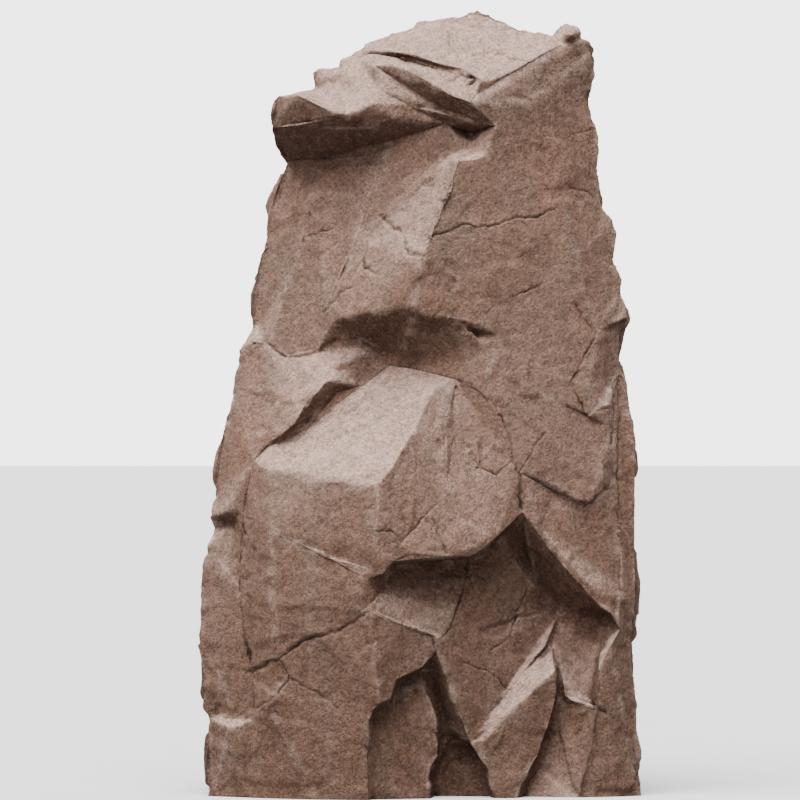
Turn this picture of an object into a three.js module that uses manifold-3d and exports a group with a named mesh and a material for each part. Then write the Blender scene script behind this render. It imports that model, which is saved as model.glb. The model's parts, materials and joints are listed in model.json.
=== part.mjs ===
// A free-standing artificial rock, 1.55 m tall, cast in glass-fibre reinforced resin.
// Two hollow half shells meet on an upright seam plane and are bolted together through
// inward flanges, with a sealing strip between them. The front half is moulded in four castings,
// because the overhanging cap, the boulder and the cave undercut would lock a one-piece mould.
// Laminated strips join those castings from inside, and a galvanised steel frame carries the seam.
// Millimetres, +Z up, the front faces -Y. Pieces are made with the seam plane at y = 0 and then moved
// back, so that the origin is on the ground in the middle of the part.

import * as THREE from "three";
import { mergeVertices } from "three/addons/utils/BufferGeometryUtils.js";
import Module from "manifold-3d";

const wasm = await Module();
wasm.setup();

// ---- driving dimensions ----

const WALL = 8; // laminate, measured along y
const GRID = 36; // cell of the hollow's surface
const STRIP = 3; // thickness of the laminated joint strips
const STRIP_HALF_WIDTH = 24;
const GAP = 0.3; // between pieces that touch
const FLANGE = 8; // thickness of each seam flange
const SEAL = 3; // thickness of the sealing strip
const SEAM_SHRINK_X = 0.972; // the seam line lies inside the widest outline
const SEAM_SHRINK_Z = 0.99;
const REAR_FACE = SEAL + 2 * GAP; // where the rear flange starts
const FRONT_REACH = 338; // how far the boulder's nose stands in front of the seam
const REAR_REACH = 222; // how far the back bulges behind the rear flange's face
const SEAM_Y = (FRONT_REACH - REAR_FACE - REAR_REACH) / 2;
const BELOW = 60; // how far a cutter reaches under the ground
const DEEP = 400; // longer than either half is deep

// ---- the front of the rock ----
// Each point is [x, z, out]: out is how far it stands in front of the seam plane.
// A point that several creases share gives its out once.

const frontOutline = [
  [-415, 0, 175], [-417, 85, 175], [-414, 152, 152], [-426, 170, 165], [-427, 215, 165], [-436, 280, 160],
  [-430, 350, 150], [-423, 430, 140], [-418, 490, 135], [-404, 522, 112], [-413, 545, 132], [-411, 575, 125],
  [-402, 594, 112], [-408, 622, 120], [-399, 665, 120], [-386, 712, 115], [-374, 775, 110], [-366, 830, 100],
  [-352, 878, 95], [-327, 925, 75], [-336, 943, 90], [-327, 1000, 85], [-308, 1085, 75], [-302, 1132, 75],
  [-281, 1200, 65], [-261, 1247, 50], [-284, 1274, 110], [-293, 1308, 150], [-288, 1342, 175],
  [-280, 1373, 165], [-243, 1385, 110], [-207, 1391, 100], [-211, 1420, 105], [-200, 1431, 95],
  [-156, 1426, 95], [-153, 1443, 90], [-133, 1450, 88], [-115, 1464, 80], [-50, 1499, 48], [0, 1523, 35],
  [50, 1531, 30], [105, 1550, 20], [145, 1541, 20], [200, 1515, 25], [264, 1498, 38], [272, 1512, 45],
  [291, 1522, 45], [312, 1506, 45], [317, 1488, 42], [335, 1484, 38], [335, 1462, 42], [344, 1435, 45],
  [343, 1390, 50], [334, 1373, 48], [345, 1325, 60], [354, 1295, 65], [351, 1228, 65], [358, 1200, 70],
  [358, 1158, 70], [380, 1132, 75], [388, 1105, 75], [384, 1065, 70], [402, 1010, 80], [398, 985, 75],
  [414, 958, 85], [414, 936, 85], [400, 928, 75], [390, 865, 70], [394, 840, 70], [410, 812, 80],
  [418, 740, 90], [425, 650, 95], [426, 540, 100], [422, 400, 110], [421, 310, 120], [428, 175, 135],
  [426, 130, 140], [436, 85, 150], [434, 0, 165], [385, 0, 195], [310, 0, 218], [205, 0, 188], [190, 0, 236],
  [145, 0, 242], [136, 0, 180], [28, 0, 174], [20, 0, 250], [-94, 0, 278], [-100, 0, 300], [-200, 0, 284],
  [-312, 0, 240],
];

const capCreases = {
  topStepLip: [[-115, 1464], [-95, 1461, 112], [-50, 1458, 128], [-20, 1456, 134], [40, 1433, 150], [85, 1424, 156]],
  topStepRoot: [[-115, 1464], [-108, 1452, 98], [-50, 1450, 112], [-20, 1449, 119], [40, 1426, 137], [85, 1424]],
  topRidge: [[85, 1424], [122, 1399, 170], [170, 1414, 142], [240, 1455, 92], [285, 1482, 62], [264, 1498]],
  knobFront: [[285, 1482], [299, 1495, 74], [312, 1506]],
  plateEnd: [[122, 1399], [112, 1374, 176], [100, 1356, 192]],
  plateLip: [
    [-108, 1452], [-120, 1444, 128], [-88, 1430, 170], [-55, 1427, 180], [-22, 1418, 187], [25, 1392, 193],
    [60, 1370, 196], [100, 1356],
  ],
  endFaceFoot: [[100, 1356], [150, 1356, 172], [190, 1362, 155], [255, 1381, 120], [334, 1373]],
  notchEdge: [[100, 1356], [148, 1312, 176], [128, 1254, 188], [75, 1248, 198]],
  ledgeLip: [
    [-280, 1373], [-240, 1370, 215], [-200, 1350, 232], [-165, 1331, 238], [-146, 1329, 236], [-125, 1334, 228],
    [-95, 1351, 212],
  ],
  leaningBlockFoot: [[-146, 1329], [-142, 1339, 205], [-160, 1367, 180], [-168, 1390, 128], [-207, 1391]],
  leaningBlockRight: [
    [-142, 1339], [-95, 1351], [-74, 1376, 186], [-90, 1394, 176], [-125, 1425, 142], [-146, 1426, 130],
    [-168, 1407, 126], [-168, 1390],
  ],
  backBlockEnd: [[-168, 1407], [-156, 1426]],
  lipBlockLeft: [[-120, 1444], [-125, 1425]],
  lipBlockRight: [[-88, 1430], [-90, 1394]],
  overhangRoot: [
    [-261, 1247], [-200, 1249, 85], [-150, 1250, 105], [-100, 1255, 120], [-60, 1273, 130], [-38, 1290, 135],
    [0, 1301, 142], [50, 1317, 150], [100, 1298, 118], [148, 1312],
  ],
  ledgeRightEnd: [[-95, 1351], [-48, 1330, 184], [0, 1301]],
  ledgeHollow: [[-293, 1308], [-240, 1312, 196], [-165, 1305, 202], [-90, 1310, 188], [-48, 1330]],
  lipHollow: [[-74, 1376], [-20, 1350, 168], [50, 1342, 156], [148, 1312]],
  notchSide: [[50, 1317], [52, 1250, 160], [75, 1248]],
  notchFold: [[100, 1298], [98, 1262, 150], [128, 1254]],
};

const upperCreases = {
  leftFaceEdge: [
    [-60, 1273], [-90, 1215, 138], [-105, 1150, 152], [-130, 1080, 163], [-160, 1010, 172], [-185, 950, 172],
    [-172, 925, 180],
  ],
  leftFaceFold: [[-258, 861], [-250, 950, 128], [-235, 1080, 112], [-215, 1180, 98], [-200, 1249]],
  sharpRidge: [[75, 1248], [50, 1175, 214], [20, 1095, 230], [2, 1045, 238], [-5, 1000, 242], [-10, 960, 245]],
  middleLip: [
    [-172, 925], [-150, 938, 200], [-100, 949, 222], [-30, 952, 240], [-10, 960], [12, 940, 238], [50, 938, 228],
    [80, 928, 214], [130, 919, 200], [154, 902, 190],
  ],
  leftSlabTop: [
    [-352, 878], [-325, 889, 118], [-300, 885, 128], [-258, 861, 140], [-200, 872, 150], [-168, 903, 162],
    [-172, 925],
  ],
  recessRoot: [
    [-168, 903], [-115, 892, 148], [-72, 868, 138], [-60, 842, 144], [-20, 838, 144], [30, 826, 163],
    [70, 815, 180], [104, 803, 196],
  ],
  recessFold: [[12, 940], [-15, 921, 205], [-30, 880, 166], [-20, 838]],
  recessBrow: [[-15, 921], [62, 911, 204], [92, 888, 196], [125, 880, 190], [154, 902]],
  pocketSide: [[80, 928], [62, 911]],
  pocketFold: [[80, 928], [108, 903, 172], [125, 880]],
  recessFacet: [[62, 911], [40, 850, 162], [30, 826]],
  recessRight: [[125, 880], [100, 850, 186], [104, 803]],
  rightCorner: [
    [255, 1381], [262, 1290, 128], [280, 1180, 134], [300, 1080, 140], [305, 985, 144], [350, 912, 132],
    [400, 928],
  ],
  longCrack: [[20, 1095], [150, 1118, 184], [250, 1148, 150], [280, 1180]],
  shortCrack: [[154, 902], [176, 968, 176], [245, 1003, 160], [305, 985]],
  slabCrack: [[197, 632], [240, 708, 190], [245, 785, 180], [300, 806, 158], [350, 912]],
  sideSlab: [[300, 806], [328, 747, 152], [366, 762, 132], [394, 840]],
  sideBand: [
    [366, 762], [376, 722, 118], [385, 620, 118], [395, 540, 120], [392, 420, 132], [392, 325, 164], [421, 310],
  ],
  slabStepLip: [
    [385, 620], [340, 583, 165], [322, 574, 171], [298, 592, 176], [275, 600, 181], [222, 634, 200],
    [197, 632, 206],
  ],
  slabStepRoot: [
    [385, 620], [342, 572, 150], [320, 562, 154], [296, 581, 160], [272, 590, 164], [215, 622, 190], [197, 632],
  ],
};

const boulderCreases = {
  rightCrack: [[104, 803], [125, 785, 200], [150, 745, 204], [165, 700, 206], [180, 650, 208], [197, 632]],
  topRidge: [[70, 815], [30, 800, 212], [-10, 720, 264], [-45, 655, 300], [-80, 612, 324]],
  rightFold: [[30, 800], [52, 722, 240], [56, 600, 276], [48, 472, 312]],
  frontEdge: [
    [-325, 655, 190], [-300, 641, 218], [-250, 637, 246], [-210, 640, 262], [-200, 617, 278], [-150, 611, 302],
    [-115, 604, 315], [-80, 612],
  ],
  cornerEdge: [[-80, 612], [-80, 560, 334], [-88, 515, 338], [-82, 482, 336], [-52, 464, 332]],
  bottomLip: [
    [200, 556, 208], [152, 512, 252], [114, 480, 286], [97, 471, 296], [48, 472], [-20, 477, 326], [-52, 464],
    [-72, 440, 328], [-100, 430, 322],
  ],
  bottomRoot: [
    [200, 556], [156, 503, 158], [116, 470, 182], [97, 460, 190], [40, 462, 212], [-42, 454, 236],
    [-62, 436, 270], [-100, 430],
  ],
  grooveRoot: [
    [-60, 842], [-110, 804, 164], [-163, 790, 168], [-200, 744, 176], [-222, 718, 182], [-262, 702, 186],
    [-298, 684, 186], [-325, 655],
  ],
  rearEdge: [[197, 632], [200, 556]],
};

const leftCreases = {
  slabFold: [[-258, 861], [-272, 790, 172], [-298, 692, 192], [-325, 655]],
  slabLip: [[-200, 872], [-215, 818, 180], [-183, 811, 202], [-233, 747, 214], [-250, 721, 216], [-298, 692]],
  slabEnd: [[-183, 811], [-163, 790]],
  rubble: [[-215, 818], [-165, 835, 176], [-115, 860, 164], [-72, 868]],
  groove: [
    [-325, 655], [-335, 610, 184], [-345, 560, 180], [-350, 500, 182], [-353, 400, 188], [-344, 320, 198],
    [-333, 250, 210], [-330, 178, 214],
  ],
  slabFoot: [[-413, 545], [-385, 553, 168], [-345, 560]],
  slabFootRoot: [[-404, 522], [-365, 530, 138], [-350, 500]],
  bellyFold: [[-300, 641], [-290, 520, 262], [-283, 275, 262]],
  bellyRise: [[-290, 520], [-180, 470, 302], [-100, 430]],
  flakeEdge: [[-436, 280], [-420, 283, 168], [-398, 242, 178], [-388, 195, 176], [-392, 166, 158], [-414, 152]],
  stripFoot: [[-388, 195], [-362, 160, 196], [-330, 178]],
  cornerBlockTop: [[-392, 166], [-362, 160]],
  cornerBlockBevel: [[-414, 152], [-370, 138, 214], [-322, 150, 226]],
  cornerBlockRight: [[-330, 178], [-322, 150], [-320, 80, 234], [-312, 0]],
};

const lowerCreases = {
  bellyFoot: [[-333, 250], [-283, 275], [-205, 316, 290], [-150, 345, 305], [-104, 373, 318]],
  bellyRight: [[-104, 373], [-100, 430]],
  smallFacet: [[-283, 275], [-258, 238, 272], [-296, 184, 258], [-330, 178]],
  cornerPanelTop: [[-258, 238], [-160, 168, 294], [-112, 148, 302]],
  cornerPanelFold: [[-296, 184], [-210, 90, 278], [-200, 0]],
  cornerPanelRight: [[-112, 148], [-103, 80, 302], [-100, 0]],
  tongueRidge: [[-104, 373], [-84, 260, 322], [-80, 186, 310]],
  tongueCrack: [[-104, 373], [-60, 349, 306], [-20, 335, 286], [25, 318, 268], [31, 288, 264]],
  tongueLip: [
    [31, 288], [2, 256, 278], [-46, 234, 290], [-58, 197, 298], [-80, 186], [-96, 178, 306], [-97, 160, 306],
    [-112, 148],
  ],
  tongueRoot: [
    [31, 288], [10, 248, 214], [-38, 224, 230], [-50, 186, 246], [-88, 172, 258], [-90, 150, 264], [-96, 75, 276],
    [-94, 0],
  ],
  lowSlabEdge: [
    [-50, 186], [-20, 206, 238], [5, 215, 226], [28, 160, 236], [42, 112, 238], [40, 82, 242], [25, 62, 247],
    [20, 0],
  ],
  darkFaceRoot: [[31, 288], [28, 225, 198], [48, 150, 180], [52, 108, 174]],
  hangingEdge: [[31, 288], [60, 205, 252], [98, 108, 238]],
  slabGap: [[42, 112], [52, 108], [98, 108], [128, 112, 246]],
  hollowLeft: [[52, 108], [58, 88, 158], [34, 56, 172], [28, 0]],
  hollowRight: [[58, 88], [108, 90, 160], [116, 66, 168], [136, 0]],
  hollowRoof: [[98, 108], [108, 90]],
  wedgeLeft: [[128, 112], [122, 70, 244], [145, 0]],
  wedgeTop: [[128, 112], [200, 192, 228], [264, 250, 205], [276, 248, 132]],
  wedgeRight: [[264, 250], [268, 190, 206], [240, 92, 222], [196, 18, 234], [190, 0]],
  wedgeGroove: [[276, 248], [272, 190, 142], [245, 95, 164], [205, 0]],
};

const caveCreases = {
  backWallRight: [[98, 108], [150, 182, 212], [200, 243, 184], [246, 290, 152], [262, 300, 108], [276, 248]],
  backWallFold: [[97, 460], [92, 425, 204], [45, 312, 256], [25, 318]],
  roofRim: [
    [200, 556], [236, 521, 204], [255, 480, 200], [302, 437, 192], [326, 418, 188], [350, 373, 184],
    [374, 357, 176], [392, 325],
  ],
  roofRoot: [[200, 556], [205, 480, 104], [226, 420, 96], [252, 372, 94], [272, 350, 94], [262, 300]],
  nicheRoof: [[272, 350], [300, 357, 98], [366, 347, 102], [392, 325]],
  nicheFold: [[366, 347], [345, 300, 106], [335, 186, 150]],
  nicheRim: [[392, 325], [374, 296, 182], [350, 245, 192], [346, 172, 200], [334, 98, 210], [310, 0]],
  nicheStep: [[346, 172], [335, 186], [290, 206, 148], [276, 248]],
  nicheStepLip: [[346, 172], [332, 170, 186], [288, 190, 170], [276, 248]],
  columnFold: [[374, 296], [390, 150, 180], [385, 0]],
};

// ---- the back of the rock: out is how far a point stands behind the seam flange ----

const REAR_EDGE = { foot: 95, top: 38 };
const REAR_LAST_X = 434; // the outline's last point before it runs back along the ground
const rearFoot = [[300, 0, 140], [110, 0, 190], [-120, 0, 205], [-290, 0, 150]];

const rearCreases = {
  footLeft: [[-290, 0, 150], [-330, 320, 112], [-418, 490]],
  footMiddle: [[-120, 0], [-150, 280, 215], [-120, 660, 190], [-70, 930, 165], [-20, 1260, 132], [-60, 1410, 84]],
  footRight: [[110, 0], [60, 330, 222], [90, 600, 205], [120, 980, 160], [150, 1200, 138], [80, 1440, 92]],
  farRight: [[300, 0], [250, 300, 172], [300, 640, 122], [300, 930, 88], [270, 1240, 72], [220, 1430, 66]],
  farLeft: [[-330, 320], [-290, 620, 104], [-240, 960, 92], [-190, 1230, 80], [-293, 1308]],
  firstBand: [[-330, 320], [-150, 280], [60, 330], [250, 300], [421, 310]],
  secondBand: [[-402, 594], [-290, 620], [-120, 660], [90, 600], [300, 640], [425, 650]],
  thirdBand: [[-327, 925], [-240, 960], [-70, 930], [120, 980], [300, 930], [400, 928]],
  fourthBand: [[-281, 1200], [-190, 1230], [-20, 1260], [150, 1200], [270, 1240], [351, 1228]],
  crown: [[-190, 1230], [-60, 1410], [80, 1440], [220, 1430], [335, 1462]],
  crownLeft: [[-115, 1464], [-60, 1410]],
  crownRight: [[105, 1550], [80, 1440]],
  crownEnd: [[264, 1498], [220, 1430]],
  firstSlant: [[-120, 0], [60, 330], [-120, 660]],
  secondSlant: [[250, 300], [90, 600], [-70, 930]],
  thirdSlant: [[300, 640], [120, 980], [-20, 1260]],
};

// ---- where the front half is split into castings ----

const capSplit = [
  [-320, 1400], [-320, 1235], [-261, 1247], [-200, 1249], [-150, 1250], [-100, 1255], [-60, 1273], [-38, 1290],
  [0, 1301], [50, 1317], [100, 1298], [148, 1312], [100, 1356], [112, 1374], [122, 1399], [85, 1424],
  [40, 1433], [-20, 1456], [-50, 1458], [-95, 1461], [-115, 1464], [-140, 1490], [-260, 1470],
];
const boulderSplit = [
  [-60, 842], [-110, 804], [-163, 790], [-200, 744], [-222, 718], [-262, 702], [-298, 684], [-325, 655],
  [-335, 610], [-345, 560], [-350, 500], [-353, 400], [-344, 320], [-333, 250], [-283, 275], [-205, 316],
  [-150, 345], [-104, 373], [-100, 430], [-72, 440], [-52, 464], [-20, 477], [48, 472], [97, 471], [114, 480],
  [152, 512], [200, 556], [197, 632], [180, 650], [165, 700], [150, 745], [125, 785], [104, 803], [70, 815],
  [30, 826], [-20, 838],
];
const caveSplit = [
  [-100, 430], [-104, 373], [-60, 349], [-20, 335], [25, 318], [31, 288], [2, 256], [-46, 234], [-58, 197],
  [-80, 186], [-96, 178], [-97, 160], [-112, 148], [-103, 80], [-100, 0], [-100, -80], [310, -80], [310, 0],
  [334, 98], [346, 172], [350, 245], [374, 296], [392, 325], [374, 357], [350, 373], [326, 418], [302, 437],
  [255, 480], [236, 521], [200, 556], [152, 512], [114, 480], [97, 471], [48, 472], [-20, 477], [-52, 464],
  [-72, 440],
];

// ---- seam flange ----

// the edge of the hollow behind the flange
const cavityOutline = [
  [-390, -BELOW], [-388, 150], [-408, 285], [-397, 430], [-379, 520], [-376, 600], [-352, 770], [-328, 875],
  [-303, 930], [-303, 990], [-283, 1090], [-255, 1200], [-240, 1245], [-262, 1290], [-262, 1335], [-195, 1362],
  [-120, 1425], [-50, 1465], [50, 1500], [105, 1515], [190, 1485], [255, 1465], [310, 1432], [318, 1375],
  [320, 1310], [326, 1215], [333, 1145], [358, 1050], [370, 975], [372, 925], [364, 860], [390, 740],
  [400, 540], [395, 310], [402, 150], [406, -BELOW],
];
const flangeWindow = [
  [-335, -BELOW], [-340, 300], [-325, 560], [-290, 800], [-245, 950], [-225, 1100], [-195, 1200], [-190, 1290],
  [-120, 1350], [-60, 1400], [50, 1450], [120, 1455], [235, 1400], [258, 1300], [275, 1100], [305, 950],
  [320, 800], [345, 650], [345, 350], [340, -BELOW],
];
const seamBolts = [
  [-372, 110], [-372, 420], [-325, 690], [-276, 1010], [-228, 1200], [20, 1463], [290, 1330], [336, 1010],
  [360, 720], [374, 420], [374, 110],
];
const RAIL_HEIGHTS = [420, 1010]; // the bolts at these heights also clamp the ends of the cross rails

// M8 hexagon bolts and nuts
const SHANK = 4;
const BOLT_HOLE = 4.8;
const HEAD = { radius: 7.5, height: 5.5 };
const NUT = { radius: 7.5, height: 6.5, bore: 4.3 };
const BOLT_END = 3; // thread standing out past the nut
const POCKET = 12; // clear radius round every head and nut

// ---- frame ----

const PAD = 5; // rubber foot pads
const FOOT_Z = PAD + GAP;
const ANGLE = { leg: 30, thickness: 3 };
const BASE = { halfWidth: 292, front: -118, rear: 104 };
const TUBE = { side: 30, wall: 2 };
const RAIL = { side: 20, wall: 2, overlap: 16 };
const UPRIGHT_X = 150;
const UPRIGHT_TOP = 1120;
const PLATE = { halfLength: 55, thickness: 5, boltOffset: 40 };

// ================= geometry helpers =================

function solidOf(geometry) {
  const bare = geometry.clone();
  for (const name of Object.keys(bare.attributes)) if (name !== "position") bare.deleteAttribute(name);
  const merged = mergeVertices(bare, 1e-4);
  const vertProperties = new Float32Array(merged.attributes.position.array);
  return new wasm.Manifold(
    new wasm.Mesh({ numProp: 3, vertProperties, triVerts: new Uint32Array(merged.index.array) }),
  );
}

function geometryOf(solid) {
  const made = solid.getMesh();
  const geometry = new THREE.BufferGeometry();
  geometry.setAttribute("position", new THREE.BufferAttribute(new Float32Array(made.vertProperties), 3));
  geometry.setIndex(new THREE.BufferAttribute(new Uint32Array(made.triVerts), 1));
  return geometry;
}

const key = ([x, z]) => `${x},${z}`;

// Turns an outline and creases, all in x and z, into triangles [a, b, c] of points [x, z, out].
function relief(outline, creases) {
  const points = [];
  const index = new Map();
  const links = [];
  const known = (p) => {
    if (!index.has(key(p))) {
      index.set(key(p), points.length);
      points.push([p[0], p[1], undefined]);
      links.push(new Set());
    }
    const i = index.get(key(p));
    if (p[2] !== undefined) points[i][2] = p[2];
    return i;
  };
  const join = (line) =>
    line.slice(1).forEach((p, i) => {
      const a = known(line[i]);
      const b = known(p);
      links[a].add(b);
      links[b].add(a);
    });
  join([...outline, outline[0]]);
  Object.values(creases).forEach(join);
  const bearing = (a, b) => Math.atan2(points[b][1] - points[a][1], points[b][0] - points[a][0]);
  const turns = links.map((set, a) => [...set].sort((b, c) => bearing(a, b) - bearing(a, c)));
  const seen = new Set();
  const triangles = [];
  turns.forEach((around, start) =>
    around.forEach((first) => {
      if (seen.has(`${start},${first}`)) return;
      const loop = [];
      let [a, b] = [start, first];
      while (!seen.has(`${a},${b}`)) {
        seen.add(`${a},${b}`);
        loop.push(a);
        const next = turns[b][(turns[b].indexOf(a) + turns[b].length - 1) % turns[b].length];
        [a, b] = [b, next];
      }
      const contour = loop.map((i) => new THREE.Vector2(points[i][0], points[i][1]));
      if (THREE.ShapeUtils.area(contour) <= 0) return;
      for (const t of THREE.ShapeUtils.triangulateShape(contour, [])) triangles.push(t.map((i) => loop[i]));
    }),
  );
  return { points, triangles, outline: outline.map((p) => index.get(key(p))) };
}

// The solid between a relief and its seam plane; side is -1 for the front and 1 for the rear.
function halfRock({ points, triangles, outline }, side, seamY) {
  const position = [];
  const faces = [];
  points.forEach(([x, z, out]) => position.push(x, seamY + side * out, z));
  const seam = outline.map((i) => {
    position.push(points[i][0] * SEAM_SHRINK_X, seamY, points[i][1] * SEAM_SHRINK_Z);
    return position.length / 3 - 1;
  });
  const add = (a, b, c) => faces.push(...(side < 0 ? [a, b, c] : [a, c, b]));
  triangles.forEach(([a, b, c]) => add(a, b, c));
  const clockwise = outline.length;
  outline.forEach((a, i) => {
    const b = outline[(i + 1) % clockwise];
    const [c, d] = [seam[i], seam[(i + 1) % clockwise]];
    add(a, b, d);
    add(a, d, c);
  });
  // the foot is bowed by a hair while it is divided, so that none of its points is skipped
  const bow = (x, z) => (z === 0 ? z - 1e-3 * (500 - Math.abs(x)) ** 0.5 : z);
  const contour = seam.map((i) => new THREE.Vector2(position[i * 3], bow(position[i * 3], position[i * 3 + 2])));
  for (const [a, b, c] of THREE.ShapeUtils.triangulateShape(contour, [])) add(seam[a], seam[c], seam[b]);
  const geometry = new THREE.BufferGeometry();
  geometry.setAttribute("position", new THREE.BufferAttribute(new Float32Array(position), 3));
  geometry.setIndex(faces);
  return solidOf(geometry);
}

// How far the relief stands out at x, z; nothing outside the outline.
function outAt({ points, triangles }, x, z) {
  for (const [a, b, c] of triangles) {
    const [ax, az, ao] = points[a];
    const [bx, bz, bo] = points[b];
    const [cx, cz, co] = points[c];
    const area = (bx - ax) * (cz - az) - (cx - ax) * (bz - az);
    const u = ((bx - x) * (cz - z) - (cx - x) * (bz - z)) / area;
    const v = ((cx - x) * (az - z) - (ax - x) * (cz - z)) / area;
    if (u >= 0 && v >= 0 && u + v <= 1) return u * ao + v * bo + (1 - u - v) * co;
  }
  return 0;
}

// The space inside a half: a grid surface that follows the relief from behind, closed at the flange.
function hollow(shape, side, seamY, wall) {
  const xs = [];
  const zs = [];
  for (let x = -12.5 * GRID; x <= 12.5 * GRID; x += GRID) xs.push(x);
  for (let z = -BELOW; z <= 43 * GRID; z += GRID) zs.push(z);
  const flangeY = seamY + side * FLANGE;
  const rings = side < 0 ? [0, 0.5, 1] : [0, 0.5];
  const least = (x, z) => {
    const reached = (scale) =>
      rings.flatMap((ring) =>
        [0, 1, 2, 3, 4, 5, 6, 7].map((k) => {
          const px = x + scale * ring * GRID * Math.cos((k * Math.PI) / 4);
          const pz = z + scale * ring * GRID * Math.sin((k * Math.PI) / 4);
          return outAt(shape, px, Math.max(pz, 0.5)) || Infinity;
        }),
      );
    const near = Math.min(...reached(1));
    return near < Infinity ? near : Math.min(...reached(2.5));
  };
  const top = new THREE.PlaneGeometry(1, 1, xs.length - 1, zs.length - 1);
  const place = top.attributes.position;
  const base = flangeY - side * 2;
  zs.toReversed().forEach((z, j) =>
    xs.forEach((x, i) => {
      const deep = Math.min(least(x, z), DEEP) - wall;
      place.setXYZ(j * xs.length + i, x, deep > FLANGE + 4 ? seamY + side * deep : base, z);
    }),
  );
  return { w: xs.length, h: zs.length, place, base, side, flangeY };
}

// Closes the grid surface into a solid: a skirt down to the flange plane and a flat back.
function hollowSolid({ w, h, place, base, side, flangeY }) {
  const position = [...place.array];
  const count = w * h;
  for (let i = 0; i < count; i++) position.push(place.getX(i), base - side * 2, place.getZ(i));
  const faces = [];
  const add = (a, b, c) => faces.push(...(side < 0 ? [a, b, c] : [a, c, b]));
  for (let j = 0; j < h - 1; j++)
    for (let i = 0; i < w - 1; i++) {
      const a = j * w + i;
      const [b, c, d] = [a + 1, a + w, a + w + 1];
      add(a, c, b);
      add(b, c, d);
      add(a + count, b + count, c + count);
      add(b + count, d + count, c + count);
    }
  const rim = [];
  for (let i = 0; i < w; i++) rim.push(i);
  for (let j = 1; j < h; j++) rim.push(j * w + w - 1);
  for (let i = w - 2; i >= 0; i--) rim.push((h - 1) * w + i);
  for (let j = h - 2; j > 0; j--) rim.push(j * w);
  rim.forEach((a, i) => {
    const b = rim[(i + 1) % rim.length];
    add(a, b, a + count);
    add(b, b + count, a + count);
  });
  const geometry = new THREE.BufferGeometry();
  geometry.setAttribute("position", new THREE.BufferAttribute(new Float32Array(position), 3));
  geometry.setIndex(faces);
  return solidOf(geometry).intersect(prism(cavityOutline, flangeY, flangeY + side * DEEP));
}

function box(x0, x1, y0, y1, z0, z1) {
  const made = new THREE.BoxGeometry(Math.abs(x1 - x0), Math.abs(y1 - y0), Math.abs(z1 - z0));
  made.translate((x0 + x1) / 2, (y0 + y1) / 2, (z0 + z1) / 2);
  return solidOf(made);
}

// A prism with an outline in x and z, running along y.
function prism(outline, y0, y1) {
  const shape = new THREE.Shape(outline.map(([x, z]) => new THREE.Vector2(x, z)));
  const made = new THREE.ExtrudeGeometry(shape, { depth: Math.abs(y1 - y0), bevelEnabled: false });
  made.rotateX(Math.PI / 2);
  made.translate(0, Math.max(y0, y1), 0);
  return solidOf(made);
}

// A bar along y with a number of sides: 6 for a bolt head, more for a shank.
function bar(x, z, radius, y0, y1, sides = 12) {
  const made = new THREE.CylinderGeometry(radius, radius, Math.abs(y1 - y0), sides);
  made.translate(x, (y0 + y1) / 2, z);
  return solidOf(made);
}

// The same bar standing up, centred on x, y.
function post(x, y, radius, z0, z1, sides = 12) {
  const made = new THREE.CylinderGeometry(radius, radius, Math.abs(z1 - z0), sides);
  made.rotateX(Math.PI / 2);
  made.translate(x, y, (z0 + z1) / 2);
  return solidOf(made);
}

// Moves every side of an outline inwards by a distance (outwards when negative).
function inset(outline, distance) {
  const turn = Math.sign(THREE.ShapeUtils.area(outline.map(([x, z]) => new THREE.Vector2(x, z))));
  return outline.map((p, i) => {
    const before = outline[(i + outline.length - 1) % outline.length];
    const after = outline[(i + 1) % outline.length];
    const normal = (a, b) => {
      const length = Math.hypot(b[0] - a[0], b[1] - a[1]);
      return [(-(b[1] - a[1]) / length) * turn, ((b[0] - a[0]) / length) * turn];
    };
    const [n, m] = [normal(before, p), normal(p, after)];
    const lean = Math.max(1 + n[0] * m[0] + n[1] * m[1], 0.5);
    return [p[0] + ((n[0] + m[0]) * distance) / lean, p[1] + ((n[1] + m[1]) * distance) / lean];
  });
}

// ================= the castings =================

function biggest(solid) {
  return solid.decompose().sort((a, b) => b.volume() - a.volume())[0];
}

// Half a rock with its hollow, its flange and room round the bolts and the ends of the rails.
function shell(shape, side, seamY) {
  const inner = seamY + side * FLANGE;
  const window = prism(flangeWindow, seamY - side, inner + side);
  let made = halfRock(shape, side, seamY).subtract(hollowSolid(hollow(shape, side, seamY, WALL)));
  made = made.subtract(window);
  for (const [x, z] of seamBolts) {
    made = made.subtract(bar(x, z, BOLT_HOLE, seamY - side, inner + side));
    made = made.subtract(bar(x, z, POCKET, inner, inner + side * POCKET * 2));
  }
  return made;
}

const front = relief(frontOutline, {
  ...prefixed("cap", capCreases),
  ...prefixed("upper", upperCreases),
  ...prefixed("boulder", boulderCreases),
  ...prefixed("left", leftCreases),
  ...prefixed("lower", lowerCreases),
  ...prefixed("cave", caveCreases),
});

function prefixed(region, creases) {
  return Object.fromEntries(Object.entries(creases).map(([name, line]) => [`${region}.${name}`, line]));
}

// The rear repeats the outline of the front; its edge grows thinner from foot to top.
function rearRelief() {
  const height = 1550;
  const sides = frontOutline.slice(0, frontOutline.findIndex(([x]) => x === REAR_LAST_X) + 1);
  const edge = ([x, z]) => [x, z, REAR_EDGE.foot + ((REAR_EDGE.top - REAR_EDGE.foot) * z) / height];
  return relief([...sides.map(edge), ...rearFoot], rearCreases);
}

const splits = { cap_ledge: capSplit, boulder: boulderSplit, cave_panel: caveSplit };
const splitPrism = (outline, distance) => prism(inset(outline, distance), 1, -DEEP);

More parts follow.
